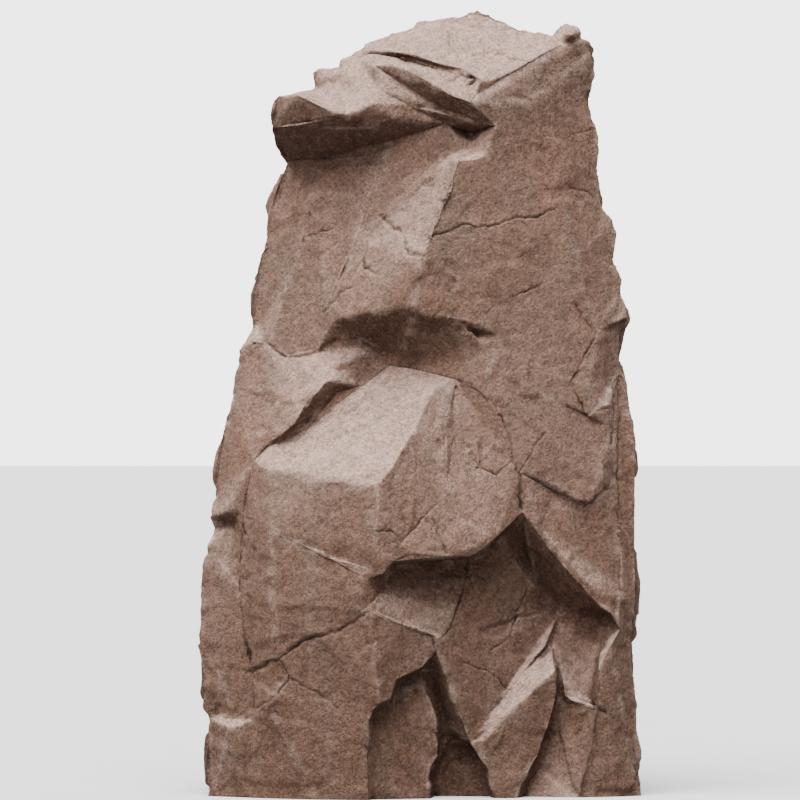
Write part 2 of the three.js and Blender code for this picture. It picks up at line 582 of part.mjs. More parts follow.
function frontCastings() {
  const half = shell(front, -1, 0);
  const pieces = {};
  let rest = half;
  for (const [name, outline] of Object.entries(splits)) {
    pieces[name] = rest.intersect(splitPrism(outline, GAP));
    rest = rest.subtract(splitPrism(outline, 0));
  }
  pieces.front_shell = rest;
  const room = railRoom();
  for (const name of Object.keys(pieces)) pieces[name] = biggest(pieces[name].subtract(room));
  return pieces;
}

function railRoom() {
  const [y0, y1] = [-FLANGE, -FLANGE - 2 * GAP - RAIL.side - HEAD.height - BOLT_END];
  const half = RAIL.side / 2 + 2;
  return RAIL_HEIGHTS.map((z) => {
    const [left, right] = railEnds(z);
    return box(left - 3, right + 3, y0, y1, z - half, z + half);
  }).reduce((a, b) => a.add(b));
}

// The strips lie against the inner face along each joint: a skin of the hollow, kept to a band.
function jointStrips() {
  const skin = hollowSolid(hollow(front, -1, 0, WALL + GAP)).subtract(
    hollowSolid(hollow(front, -1, 0, WALL + GAP + STRIP)),
  );
  const strips = {};
  let used = railRoom();
  for (const [name, outline] of Object.entries(splits)) {
    const band = splitPrism(outline, -STRIP_HALF_WIDTH).subtract(splitPrism(outline, STRIP_HALF_WIDTH));
    const ring = skin.intersect(band).intersect(box(-500, 500, -FLANGE - POCKET, -DEEP, 1, 1600));
    strips[`${name}_joint_strip`] = biggest(ring.subtract(used));
    used = used.add(band);
  }
  return strips;
}

// ================= fasteners =================

// A bolt along y from its head to its end, with the nut as a separate solid.
function boltAlongY(x, z, headY, nutY) {
  const shank = bar(x, z, SHANK, headY, nutY + NUT.height + BOLT_END, 8);
  const bolt = bar(x, z, HEAD.radius, headY - HEAD.height, headY, 6).add(shank);
  const nut = bar(x, z, NUT.radius, nutY, nutY + NUT.height, 6).subtract(
    bar(x, z, NUT.bore, nutY - 1, nutY + NUT.height + 1),
  );
  return { bolt, nut };
}

function seamFasteners() {
  const made = {};
  seamBolts.forEach(([x, z], i) => {
    const onRail = RAIL_HEIGHTS.includes(z);
    const headY = -FLANGE - GAP - (onRail ? RAIL.side + GAP : 0);
    const { bolt, nut } = boltAlongY(x, z, headY, REAR_FACE + FLANGE + GAP);
    made[`seam_bolt_${i + 1}`] = bolt;
    made[`seam_nut_${i + 1}`] = nut;
  });
  return made;
}

function gasket() {
  const outline = frontOutline.map(([x, z]) => [x * SEAM_SHRINK_X, z * SEAM_SHRINK_Z]);
  let made = prism(inset(outline, 4), GAP, GAP + SEAL).subtract(prism(inset(flangeWindow, -2), -1, SEAL + 2));
  for (const [x, z] of seamBolts) made = made.subtract(bar(x, z, BOLT_HOLE, -1, SEAL + 2));
  return biggest(made);
}

// ================= frame =================

function railEnds(z) {
  const xs = seamBolts.filter((bolt) => bolt[1] === z).map(([x]) => x);
  return [Math.min(...xs) - RAIL.overlap, Math.max(...xs) + RAIL.overlap];
}

// A square tube between two corners of its box, hollow along the named axis.
function tube([x0, x1], [y0, y1], [z0, z1], wall, along) {
  const past = (axis) => (axis === along ? -1 : wall);
  const [i, j, k] = ["x", "y", "z"].map(past);
  return box(x0, x1, y0, y1, z0, z1).subtract(box(x0 + i, x1 - i, y0 + j, y1 - j, z0 + k, z1 - k));
}

const uprightY = [-FLANGE - 3 * GAP - RAIL.side - TUBE.side, -FLANGE - 3 * GAP - RAIL.side];
const uprightFoot = FOOT_Z + ANGLE.thickness + GAP;

// Angle section: the flat leg lies down, the other stands on the outer edge.
function baseFrame() {
  const { halfWidth: w, front: f, rear: r } = BASE;
  const { leg, thickness: t } = ANGLE;
  const [low, flat, high] = [FOOT_Z, FOOT_Z + t, FOOT_Z + leg];
  const middle = (uprightY[0] + uprightY[1]) / 2;
  const parts = [
    box(-w, w, f, f + leg, low, flat), box(-w, w, f, f + t, low, high),
    box(-w, w, r - leg, r, low, flat), box(-w, w, r - t, r, low, high),
    box(-w, -w + leg, f, r, low, flat), box(-w, -w + t, f, r, low, high),
    box(w - leg, w, f, r, low, flat), box(w - t, w, f, r, low, high),
    box(-w, w, middle - leg / 2, middle + leg / 2, low, flat),
  ];
  let made = parts.reduce((a, b) => a.add(b));
  for (const x of uprightBoltXs()) made = made.subtract(post(x, middle, BOLT_HOLE, low - 1, flat + 1));
  return made;
}

const uprightBoltXs = () =>
  [-UPRIGHT_X, UPRIGHT_X].flatMap((x) => [x - PLATE.boltOffset, x + PLATE.boltOffset]);

function upright(x) {
  const half = TUBE.side / 2;
  const middle = (uprightY[0] + uprightY[1]) / 2;
  const plateTop = uprightFoot + PLATE.thickness;
  let made = tube([x - half, x + half], uprightY, [plateTop - 1, UPRIGHT_TOP], TUBE.wall, "z");
  made = made.add(box(x - PLATE.halfLength, x + PLATE.halfLength, ...uprightY, uprightFoot, plateTop));
  for (const offset of [-PLATE.boltOffset, PLATE.boltOffset])
    made = made.subtract(post(x + offset, middle, BOLT_HOLE, uprightFoot - 1, plateTop + 1));
  for (const z of RAIL_HEIGHTS) made = made.subtract(bar(x, z, BOLT_HOLE, uprightY[0] - 1, uprightY[1] + 1));
  return made;
}

function rail(z) {
  const [x0, x1] = railEnds(z);
  const half = RAIL.side / 2;
  const y = [-FLANGE - 2 * GAP - RAIL.side + GAP, -FLANGE - GAP];
  let made = tube([x0, x1], y, [z - half, z + half], RAIL.wall, "x");
  const holes = [x0 + RAIL.overlap, x1 - RAIL.overlap, -UPRIGHT_X, UPRIGHT_X];
  for (const x of holes) made = made.subtract(bar(x, z, BOLT_HOLE, y[0] - 1, y[1] + 1));
  return made;
}

function railFasteners() {
  const made = {};
  RAIL_HEIGHTS.forEach((z, level) =>
    [-UPRIGHT_X, UPRIGHT_X].forEach((x, i) => {
      const { bolt, nut } = boltAlongY(x, z, uprightY[0] - GAP, -FLANGE);
      const label = `${["lower", "upper"][level]}_${["left", "right"][i]}`;
      made[`${label}_rail_bolt`] = bolt;
      made[`${label}_rail_nut`] = nut;
    }),
  );
  return made;
}

// Short screws from above, through the foot plates into the base frame.
function footScrews() {
  const middle = (uprightY[0] + uprightY[1]) / 2;
  const top = uprightFoot + PLATE.thickness + GAP;
  return Object.fromEntries(
    uprightBoltXs().map((x, i) => {
      const head = post(x, middle, HEAD.radius, top, top + HEAD.height, 6);
      return [`foot_plate_bolt_${i + 1}`, head.add(post(x, middle, SHANK, FOOT_Z - 2, top + 1, 8))];
    }),
  );
}

function footPads() {
  const made = {};
  const size = ANGLE.leg;
  for (const [side, x] of [["left", -BASE.halfWidth], ["right", BASE.halfWidth - size]])
    for (const [end, y] of [["front", BASE.front], ["rear", BASE.rear - size]])
      made[`${end}_${side}_foot_pad`] = box(x, x + size, y, y + size, 0, PAD);
  return made;
}

// ================= the assembly =================

const finish = (color, roughness, metalness) => new THREE.MeshStandardMaterial({ color, roughness, metalness });
const resin = () => finish(0x8a6e62, 0.95, 0);
const laminate = () => finish(0xb9a98c, 0.6, 0);
const steel = () => finish(0x9fa4a6, 0.5, 0.9);
const zinc = () => finish(0xbfc2c4, 0.35, 0.95);
const rubber = () => finish(0x1d1d1d, 0.9, 0);

const rock = new THREE.Group();
rock.name = "artificial_rock";

function place(solids, material) {
  for (const [name, solid] of Object.entries(solids)) {
    const mesh = new THREE.Mesh(geometryOf(solid).translate(0, SEAM_Y, 0), material());
    mesh.name = name;
    rock.add(mesh);
  }
}

place(frontCastings(), resin);
place({ rear_shell: biggest(shell(rearRelief(), 1, REAR_FACE)) }, resin);
place(jointStrips(), laminate);
place({ seam_gasket: gasket() }, rubber);
place({ base_frame: baseFrame() }, steel);
place({ left_upright: upright(-UPRIGHT_X), right_upright: upright(UPRIGHT_X) }, steel);
place({ lower_rail: rail(RAIL_HEIGHTS[0]), upper_rail: rail(RAIL_HEIGHTS[1]) }, steel);
place(footPads(), rubber);
place({ ...seamFasteners(), ...railFasteners(), ...footScrews() }, zinc);

export default rock;
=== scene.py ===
import json
import math

import bmesh
import bpy
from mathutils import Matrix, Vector, noise
from mathutils.bvhtree import BVHTree
from mathutils.kdtree import KDTree


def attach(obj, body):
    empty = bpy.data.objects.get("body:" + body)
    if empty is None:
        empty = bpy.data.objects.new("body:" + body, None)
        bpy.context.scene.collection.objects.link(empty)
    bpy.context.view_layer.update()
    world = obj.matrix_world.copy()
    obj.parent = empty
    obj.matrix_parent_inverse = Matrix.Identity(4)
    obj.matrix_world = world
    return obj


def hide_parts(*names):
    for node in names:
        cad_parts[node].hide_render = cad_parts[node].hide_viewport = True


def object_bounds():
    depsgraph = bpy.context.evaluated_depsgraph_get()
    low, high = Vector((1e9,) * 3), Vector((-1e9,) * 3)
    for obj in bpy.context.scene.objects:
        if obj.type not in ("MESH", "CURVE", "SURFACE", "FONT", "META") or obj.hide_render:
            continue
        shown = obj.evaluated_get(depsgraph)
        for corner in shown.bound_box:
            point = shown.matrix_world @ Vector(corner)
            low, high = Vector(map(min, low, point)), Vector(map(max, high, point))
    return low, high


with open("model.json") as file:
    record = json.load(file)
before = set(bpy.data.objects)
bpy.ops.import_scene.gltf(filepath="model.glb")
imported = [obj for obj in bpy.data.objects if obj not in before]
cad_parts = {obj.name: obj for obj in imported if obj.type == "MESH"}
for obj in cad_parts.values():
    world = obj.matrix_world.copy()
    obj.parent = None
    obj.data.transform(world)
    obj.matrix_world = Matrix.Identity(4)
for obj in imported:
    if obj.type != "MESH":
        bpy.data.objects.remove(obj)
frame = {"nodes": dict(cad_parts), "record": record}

# An artificial rock of glass-fibre resin with a stone-chip coat. Its castings are copied from the
# fixed frame, divided finely, worn, chipped and cracked; the steelwork inside keeps its own shape.

cad_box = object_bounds()
MM = 0.001
ROOT = "root"

# ================= shape =================

CASTINGS = ["front_shell", "cap_ledge", "boulder", "cave_panel", "rear_shell"]

# The skin is halved in these steps, down to a longest edge for the front, the rear and the cracks.
COARSE_STEPS = (0.2, 0.1, 0.05, 0.025, 0.0128)
FACE_SIZE = 7 * MM
REAR_FACE_SIZE = 1.5 * FACE_SIZE
CRACK_FACE_SIZE = 2.6 * MM
CRACK_REACH = 2.2 * CRACK_FACE_SIZE

SHARP = math.radians(24)  # folds sharper than this stay crisp
DEEP_FOLD = math.radians(88)  # valleys sharper than this stay crisp and hold dirt and painted shade
RIDGE_CLEARANCE = 10 * MM  # rounding keeps this far from a crisp ridge
RIM_CLEARANCE = 6 * MM  # and this far from a rim or a deep valley
FADE = 11 * MM  # the coat thins out to nothing over this distance from a free rim
SEAM_REACH = 1.2 * MM  # castings whose rims are closer than this meet there
SAME_WAY = 0.95  # the rims at a joint move together if their directions agree this well

WORN_WIDTH = 9 * MM  # half width of the pale wear along a ridge
CHIPPED_WIDTH = 16 * MM  # half width of the chips bitten out of a ridge
DIRT_AND_SHADE_WIDTH = 7 * MM  # half width of the dirt and painted shade in a deep valley
DEEPEST_PUSH = 0.55  # the part of a wall's thickness that weathering may take away
WALL_SEARCH = 0.1  # how far behind the skin a wall's inner face is looked for
REAR_BOLDNESS = 2.6  # the rear's broad shapes are this much stronger than the front's
FOOT_LEVEL = 0.5 * MM

# Directions to the sky, and how far something in the way still hides the sky from a point, for the painted
# sky shade.
SKY = [
    Vector(towards).normalized()
    for towards in [
        (0, 0, 1), (-0.5, 0, 0.85), (0.5, 0, 0.85), (0, -0.6, 0.8),
        (0, 0.6, 0.8), (-0.5, -0.6, 0.6), (0.5, -0.6, 0.6), (0, -0.9, 0.45),
    ]
]
SKY_SHADE_REACH = 0.6
SKY_SHADE_START = 12 * MM

# Each crack: depth and half width in mm, then points across and up the front in mm.
CRACKS = [
    (8, 3.5, [(16, 1090), (50, 1102), (90, 1118), (120, 1113), (155, 1120), (190, 1132), (230, 1133),
              (262, 1150)]),
    (4, 3, [(45, 1165), (90, 1178)]),
    (6, 3.5, [(300, 1193), (335, 1185), (350, 1168)]),
    (4, 3, [(308, 1300), (340, 1310)]),
    (4, 3, [(180, 975), (240, 1003)]),
    (7, 3.5, [(305, 965), (320, 940), (350, 905), (330, 870), (297, 810), (310, 780), (325, 745),
              (365, 760)]),
    (5, 5, [(384, 820), (378, 760), (375, 690)]),
    (8, 3.5, [(396, 820), (388, 700), (392, 600), (396, 500)]),
    (7, 5, [(-75, 1135), (-55, 1115), (-30, 1102), (-30, 1085), (-22, 1058), (8, 1055)]),
    (6, 5, [(-100, 1095), (-110, 1035), (-85, 1020)]),
    (4, 4, [(-220, 1100), (-198, 1108), (-175, 1113)]),
    (9, 4, [(-330, 888), (-300, 887), (-272, 863), (-240, 862), (-200, 870), (-165, 892)]),
    (6, 4, [(-190, 947), (-155, 985), (-130, 995)]),
    (9, 4, [(110, 797), (145, 765), (160, 740), (178, 690), (183, 655), (195, 632), (200, 552)]),
    (5, 3, [(100, 670), (115, 645), (150, 630), (175, 652)]),
    (7, 3.5, [(25, 545), (38, 512), (50, 478)]),
    (5, 3, [(-85, 520), (-50, 523), (-35, 500), (0, 540), (35, 575)]),
    (6, 3, [(195, 632), (225, 685), (245, 710)]),
    (10, 4.5, [(-330, 245), (-280, 270), (-225, 310), (-165, 325), (-130, 345), (-100, 365)]),
    (6, 3.5, [(-275, 268), (-255, 235), (-200, 205), (-160, 180)]),
    (6, 3.5, [(-255, 235), (-280, 200), (-325, 170)]),
    (8, 4, [(-345, 530), (-350, 450), (-352, 410), (-345, 330), (-330, 250), (-325, 175)]),
    (8, 3.5, [(95, 470), (92, 440), (85, 400), (60, 330), (45, 313)]),
    (5, 3, [(95, 430), (105, 405)]),
    (9, 4, [(-50, 347), (-20, 328), (25, 315), (28, 290)]),
    (5, 3, [(80, 265), (135, 245), (172, 210)]),
    (5, 3, [(210, 400), (178, 310), (140, 287)]),
    (6, 3.5, [(288, 204), (333, 185), (365, 165)]),
    (12, 5, [(108, 1462), (140, 1463), (165, 1462), (190, 1448), (178, 1441)]),
    (6, 3, [(190, 1448), (212, 1438)]),
    (8, 5, [(67, 1403), (75, 1412), (108, 1408), (100, 1395)]),
]


def merged_copy(node):
    """A copy of a CAD node's mesh with its doubles merged."""
    made = bmesh.new()
    made.from_mesh(frame["nodes"][node].data)
    bmesh.ops.remove_doubles(made, verts=made.verts, dist=1e-6)
    made.normal_update()
    return made


def tree_of(meshes):
    verts, faces = [], []
    for made in meshes.values():
        base = len(verts)
        verts += [v.co.copy() for v in made.verts]
        faces += [[base + v.index for v in f.verts] for f in made.faces]
    return BVHTree.FromPolygons(verts, faces)


def is_weathered(face, tree, outward):
    """True on the side of a casting that faces the world."""
    n = face.normal
    if n.z < -0.99:
        return False
    start = face.calc_center_median() + n * 0.0001
    towards = Vector((0, outward, 0))
    if n.y * outward > 0.02 and tree.ray_cast(start, towards)[0] is None:
        return True
    if n.z > 0.25 and tree.ray_cast(start, Vector((0, 0, 1)))[0] is None:
        return True
    return abs(n.y) < 0.7 and tree.ray_cast(start, n)[0] is None


def fold_points(made, skin):
    """Points along the sharp ridges of the skin, and along its rims and deepest valleys."""
    ridges, deep = [], []
    for edge in made.edges:
        outer = [f for f in edge.link_faces if f[skin]]
        if not outer or len(edge.link_faces) != 2:
            continue
        angle = edge.calc_face_angle_signed(0)
        if len(outer) == 2 and abs(angle) < SHARP:
            continue
        a, b = (v.co for v in edge.verts)
        steps = max(2, int((b - a).length / 0.005))
        along = [a.lerp(b, i / steps) for i in range(steps + 1)]
        if len(outer) == 2 and angle > 0:
            ridges += along
        if len(outer) == 1 or angle < -DEEP_FOLD:
            deep += along
    return ridges, deep


def kd_of(points):
    made = KDTree(max(len(points), 1))
    for i, p in enumerate(points):
        made.insert(p, i)
    made.balance()
    return made


def crack_tree():
    """Points along the cracks, on the plane y = 0, with each one's depth and half width."""
    points, sizes = [], []
    for depth, half_width, line in CRACKS:
        for (x0, z0), (x1, z1) in zip(line, line[1:]):
            steps = max(2, int(math.hypot(x1 - x0, z1 - z0) / 2))
            for i in range(steps + 1):
                t = i / steps
                p = Vector((x0 + (x1 - x0) * t, 0, z0 + (z1 - z0) * t)) * MM
                stray = Vector((noise.noise(p * 90), 0, noise.noise(p * 90 + Vector((7, 0, 3)))))
                p += stray * 3.5 * MM
                points.append(p)
                sizes.append((depth * MM, half_width * MM))
    return kd_of(points), sizes


CRACK_TREE, CRACK_SIZES = crack_tree()


def crack_at(p):
    """How far from a crack p lies, and that crack's depth and half width."""
    _, index, distance = CRACK_TREE.find(Vector((p.x, 0, p.z)))
    return (distance, *CRACK_SIZES[index])


def middle_of(edge):
    return (edge.verts[0].co + edge.verts[1].co) / 2


def divide(made, skin, limit, near_crack):
    """Halves the skin's edges that are longer than limit, a few times over."""
    for _ in range(4):
        long = [
            e for e in made.edges
            if e.calc_length() > limit
            and any(f[skin] for f in e.link_faces)
            and (not near_crack or crack_at(middle_of(e))[0] < CRACK_REACH)
        ]
        if not long:
            return
        bmesh.ops.subdivide_edges(made, edges=long, cuts=1)
        bmesh.ops.triangulate(made, faces=[f for f in made.faces if len(f.verts) > 3])


def cell_tilt(p, size, seed):
    """Broken facets: each cell of a broken grid is a little plane with its own tilt."""
    centre = noise.voronoi(p / size + Vector((seed, 0, 0)))[1][0]
    tilt = noise.noise_vector(centre * 3.7)
    return (p / size + Vector((seed, 0, 0)) - centre).dot(tilt) * size


def terrace(value, steps):
    """Rounds a smooth value into steps with short risers."""
    scaled = value * steps
    low = math.floor(scaled)
    rise = scaled - low
    return (low + min(max((rise - 0.44) / 0.12, 0), 1)) / steps


def weathering(p, ridge, rear):
    """How far the coat stands out at p; ridge is 1 on a ridge and falls to 0 away from it."""
    warped = p + noise.noise_vector(p * 9) * 0.025 + noise.noise_vector(p * 34) * 0.006
    broad = noise.noise(warped * 6.5) * 7 * MM
    shelf = terrace(noise.noise(Vector((warped.x * 4, warped.y * 4, warped.z * 6))), 1.6) * 7 * MM
    rough = min(max(noise.noise(p * 5 + Vector((3, 8, 1))) * 2 + 0.5, 0), 1)
    facets = cell_tilt(warped, 0.09, 4) * 0.085 + cell_tilt(warped, 0.034, 9) * 0.10 * rough
    pits = max(noise.noise(p * 60) - 0.35, 0) * -5 * MM * rough
    grain = noise.noise(p * 130) * 0.7 * MM + noise.noise(p * 260) * 0.35 * MM
    bite = max(noise.noise(p * 28 + Vector((0, 5, 9))) + 0.1, 0) * ridge * -7 * MM
    bold = REAR_BOLDNESS if rear else 1
    return broad * 0.7 * bold + shelf * bold + facets * bold + pits + grain + bite


def painted_sky_shade_at(v, tree):
    """How much of the sky is hidden from a point of the skin, from 0 to 1, for the painted shade in the
    coat's colour.
    """
    start = v.co + v.normal * SKY_SHADE_START
    hidden = [
        towards for towards in SKY
        if v.normal.dot(towards) < 0.05
        or tree.ray_cast(start, towards, SKY_SHADE_REACH)[0] is not None
    ]
    return len(hidden) / len(SKY)


def wall_behind(v, tree):
    """How thick the casting is behind a point of its skin, as far as it is looked for."""
    distance = tree.ray_cast(v.co - v.normal * 0.0005, -v.normal, WALL_SEARCH)[3]
    return WALL_SEARCH if distance is None else distance


def falloff(distance, half_width):
    """1 on a line, falling away to 0 on both sides of it."""
    return math.exp(-((distance / half_width) ** 2))


def smooth(made, verts, times):
    axes = {"use_axis_x": True, "use_axis_y": True, "use_axis_z": True}
    for _ in range(times):
        bmesh.ops.smooth_vert(made, verts=verts, factor=0.5, **axes)


def refine(name, made, skin, ridges, deep):
    """Divides one casting's skin finely and rounds it away from its folds."""
    rear = name == "rear_shell"
    for limit in (*COARSE_STEPS, REAR_FACE_SIZE if rear else FACE_SIZE):
        divide(made, skin, limit, False)
    if not rear:
        divide(made, skin, CRACK_FACE_SIZE, True)
    free = [v for v in made.verts if v.link_faces and all(f[skin] for f in v.link_faces)]
    open_faces = [
        v for v in free
        if ridges.find(v.co)[2] > RIDGE_CLEARANCE and deep.find(v.co)[2] > RIM_CLEARANCE
    ]
    crisp = name == "cap_ledge"
    smooth(made, open_faces, 10 if crisp else 30)
    smooth(made, free, 1 if crisp else 3)
    made.normal_update()


def calm(verts):
    """Draws in the odd point that stands far off from its neighbours."""
    for _ in range(3):
        moves = []
        for v in verts:
            around = [edge.other_vert(v).co for edge in v.link_edges]
            mean = sum(around, Vector()) / len(around)
            reach = sum((p - mean).length for p in around) / len(around)
            if (v.co - mean).length > 0.5 * reach + 0.7 * MM:
                moves.append((v, mean))
        for v, mean in moves:
            v.co = v.co.lerp(mean, 0.8)


def skin_normal(v, skin):
    """The direction a rim point's weathered faces look in."""
    total = Vector()
    for f in v.link_faces:
        if f[skin]:
            total += f.normal * f.calc_area()
    return total.normalized()


def seam_points(meshes, skins):
    """Points where two castings meet on the skin, with the direction each one's faces look in."""
    points, normals, owners = [], [], []
    for name, made in meshes.items():
        skin = skins[name]
        for v in made.verts:
            outer = [f[skin] for f in v.link_faces]
            if any(outer) and not all(outer):
                points.append(v.co.copy())
                normals.append(skin_normal(v, skin))
                owners.append(name)
    return kd_of(points), normals, owners


def smoothed_normal(v):
    """A point's normal averaged with its neighbours', which steadies it on slivers."""
    total = v.normal * 2
    for edge in v.link_edges:
        total = total + edge.other_vert(v).normal
    return total.normalized()


def seam_direction(name, v, seams):
    """One direction for both sides of a joint, or None on a free rim."""
    tree, normals, owners = seams
    close = tree.find_range(v.co, SEAM_REACH)
    if all(owners[i] == name for _, i, _ in close):
        return None
    total = Vector()
    for _, i, _ in close:
        total += normals[i]
    return total.normalized() if total.length > SAME_WAY * len(close) else None


def directions_of(name, made, skin, seams):
    """Each skin point with the direction it may move in, or None where it stays."""
    found = []
    for v in made.verts:
        outer = [f[skin] for f in v.link_faces]
        if any(outer):
            away = smoothed_normal(v) if all(outer) else seam_direction(name, v, seams)
            found.append((v, away))
    return found


def weather(name, made, skin, tree, ridges, deep, seams):
    """Displaces and cracks one casting's skin, and stores the wear, the valley dirt and the painted shade
    as attributes.
    """
    wear = made.verts.layers.float.new("edge_wear")
    crevice_dirt_and_shade = made.verts.layers.float.new("crevice_dirt_and_shade")
    painted_sky_shade = made.verts.layers.float.new("painted_sky_shade")
    upward = made.verts.layers.float.new("upward")
    rear = name == "rear_shell"
    directions = directions_of(name, made, skin, seams)
    fixed = kd_of([v.co for v, away in directions if away is None])
    moves = []
    for v, away in directions:
        edge_distance = ridges.find(v.co)[2]
        patchy = min(max(noise.noise(v.co * 22) * 1.5 + 0.45, 0), 1)
        # Dirt and painted shade along deep valleys and rims.
        dark = 0.6 * falloff(deep.find(v.co)[2], DIRT_AND_SHADE_WIDTH) * patchy
        push = weathering(v.co, falloff(edge_distance, CHIPPED_WIDTH), rear)
        if not rear and v.normal.y < 0.2:
            distance, depth, half_width = crack_at(v.co)
            strength = 0.55 + 0.45 * noise.noise(v.co * 25)
            groove = falloff(distance, half_width * 0.75) * max(strength, 0)
            push -= depth * groove
            # The groove is darkened too: dirt and painted shade in the crack.
            dark = max(dark, groove)
        push = max(push, -DEEPEST_PUSH * wall_behind(v, tree))
        push *= min(fixed.find(v.co)[2] / FADE, 1)
        v[upward] = v.normal.z
        v[wear] = falloff(edge_distance, WORN_WIDTH)
        v[crevice_dirt_and_shade] = dark
        # Painted shade: the part of the sky hidden from this point, kept for the coat's colour.
        v[painted_sky_shade] = painted_sky_shade_at(v, tree)
        if away is not None:
            moves.append((v, away * push))
    for v, move in moves:
        v.co += move
        v.co.z = max(v.co.z, FOOT_LEVEL)
    calm([v for v, move in moves if all(f[skin] for f in v.link_faces)])
    made.normal_update()


# ================= node helpers =================

def node(tree, kind, inputs=None, **settings):
    made = tree.nodes.new(kind)
    for key, value in settings.items():
        setattr(made, key, value)
    for key, value in (inputs or {}).items():
        if isinstance(value, bpy.types.NodeSocket):
            tree.links.new(value, made.inputs[key])
        else:
            made.inputs[key].default_value = value
    return made


def blend(tree, factor, a, b, mode="MIX"):
    made = node(tree, "ShaderNodeMix", {0: factor, 6: a, 7: b}, data_type="RGBA", blend_type=mode)
    return made.outputs[2]


def sums(tree, operation, a, b=0.0):
    return node(tree, "ShaderNodeMath", {0: a, 1: b}, operation=operation).outputs[0]


def remap(tree, value, low, high, to_low=0.0, to_high=1.0):
    made = node(
        tree, "ShaderNodeMapRange",
        {"Value": value, "From Min": low, "From Max": high, "To Min": to_low, "To Max": to_high},
        interpolation_type="SMOOTHSTEP",
    )
    return made.outputs[0]


def clouds(tree, vector, scale, detail=3.0, roughness=0.55):
    made = node(
        tree, "ShaderNodeTexNoise",
        {"Vector": vector, "Scale": scale, "Detail": detail, "Roughness": roughness},
    )
    return made.outputs["Fac"]


def cells(tree, vector, scale):
    return node(tree, "ShaderNodeTexVoronoi", {"Vector": vector, "Scale": scale}, feature="F1")


def group(name, inputs, outputs):
    """A node group with named sockets, its input node and its output node."""
    made = bpy.data.node_groups.new(name, "ShaderNodeTree")
    for label, kind, value in inputs:
        socket = made.interface.new_socket(label, in_out="INPUT", socket_type=kind)
        if value is not None:
            socket.default_value = value
    for label, kind in outputs:
        made.interface.new_socket(label, in_out="OUTPUT", socket_type=kind)
    return made, node(made, "NodeGroupInput").outputs, node(made, "NodeGroupOutput").inputs


def use(tree, made, inputs):
    """Places a node group in a material and sets its inputs."""
    here = tree.nodes.new("ShaderNodeGroup")
    here.node_tree = made
    for key, value in inputs.items():
        if isinstance(value, bpy.types.NodeSocket):
            tree.links.new(value, here.inputs[key])
        else:
            here.inputs[key].default_value = value
    return here.outputs


VECTOR, VALUE = "NodeSocketVector", "NodeSocketFloat"

# ================= shared effects =================


def stone_chips():
    """Crushed stone pressed into resin: coloured chips of a few millimetres, and their relief."""
    tree, given, out = group(
        "stone_chips",
        [("Vector", VECTOR, None), ("Chip", VALUE, 2.4), ("Contrast", VALUE, 1.0)],
        [("Tone", VALUE), ("Hue", VALUE), ("Height", VALUE)],
    )
    scale = sums(tree, "DIVIDE", 1000.0, given["Chip"])
    fine_scale = sums(tree, "MULTIPLY", scale, 2.1)
    chips = cells(tree, given["Vector"], scale)
    fine = cells(tree, given["Vector"], fine_scale)
    chip_tone = node(tree, "ShaderNodeSeparateColor", {0: chips.outputs["Color"]})
    fine_tone = node(tree, "ShaderNodeSeparateColor", {0: fine.outputs["Color"]})
    tone = sums(tree, "ADD", sums(tree, "MULTIPLY", chip_tone.outputs[0], 0.6),
                sums(tree, "MULTIPLY", fine_tone.outputs[0], 0.4))
    centred = sums(tree, "SUBTRACT", tone, 0.5)
    tree.links.new(sums(tree, "MULTIPLY", centred, given["Contrast"]), out["Tone"])
    tree.links.new(chip_tone.outputs[1], out["Hue"])
    relief = sums(tree, "ADD", sums(tree, "MULTIPLY", chips.outputs["Distance"], -0.7),
                  sums(tree, "MULTIPLY", fine.outputs["Distance"], -0.35))
    tree.links.new(relief, out["Height"])
    return tree


def broad_stain():
    """Large soft patches and streaks that run down."""
    tree, given, out = group(
        "broad_stain", [("Vector", VECTOR, None)], [("Patch", VALUE), ("Streak", VALUE), ("Blotch", VALUE)]
    )
    tree.links.new(remap(tree, clouds(tree, given["Vector"], 3.2, 4), 0.4, 0.62), out["Patch"])
    stretched = node(tree, "ShaderNodeMapping", {"Vector": given["Vector"], "Scale": (16, 16, 2.2)})
    tree.links.new(remap(tree, clouds(tree, stretched.outputs[0], 1.0, 5), 0.42, 0.68), out["Streak"])
    tree.links.new(remap(tree, clouds(tree, given["Vector"], 26, 5, 0.65), 0.35, 0.65), out["Blotch"])
    return tree


STONE_CHIPS = stone_chips()
BROAD_STAIN = broad_stain()

# ================= materials =================


def new_material(name):
    made = bpy.data.materials.new(name)
    made.use_nodes = True
    tree = made.node_tree
    shader = tree.nodes["Principled BSDF"]
    place = node(tree, "ShaderNodeTexCoord").outputs["Object"]
    return made, tree, shader, place


def bump(tree, shader, height, distance):
    made = node(tree, "ShaderNodeBump", {"Height": height, "Distance": distance, "Strength": 1.0})
    tree.links.new(made.outputs[0], shader.inputs["Normal"])


def stored(tree, name):
    return node(tree, "ShaderNodeAttribute", attribute_name=name, attribute_type="GEOMETRY").outputs["Fac"]


# Colours of the coat, from the dusty tops with painted top light to the deepest painted shade.
# Dusting with painted top light on faces that look up.
DUST_AND_TOP_LIGHT = (0.52, 0.355, 0.29, 1)
WORN = (0.40, 0.29, 0.24, 1)
PINK_CHIP = (0.33, 0.19, 0.14, 1)
BLOTCH = (0.235, 0.140, 0.105, 1)
COAT_PALE = (0.215, 0.133, 0.099, 1)
COAT_RED = (0.20, 0.110, 0.077, 1)
GREY_STREAK = (0.15, 0.108, 0.08, 1)
DAMP_FOOT = (0.115, 0.062, 0.041, 1)
END_FACE_DARK = (0.10, 0.066, 0.048, 1)
# Painted shade where little sky is seen.
PAINTED_SKY_SHADE = (0.075, 0.036, 0.024, 1)
# Painted shade on faces that look down.
PAINTED_UNDERSIDE_SHADE = (0.05, 0.024, 0.016, 1)
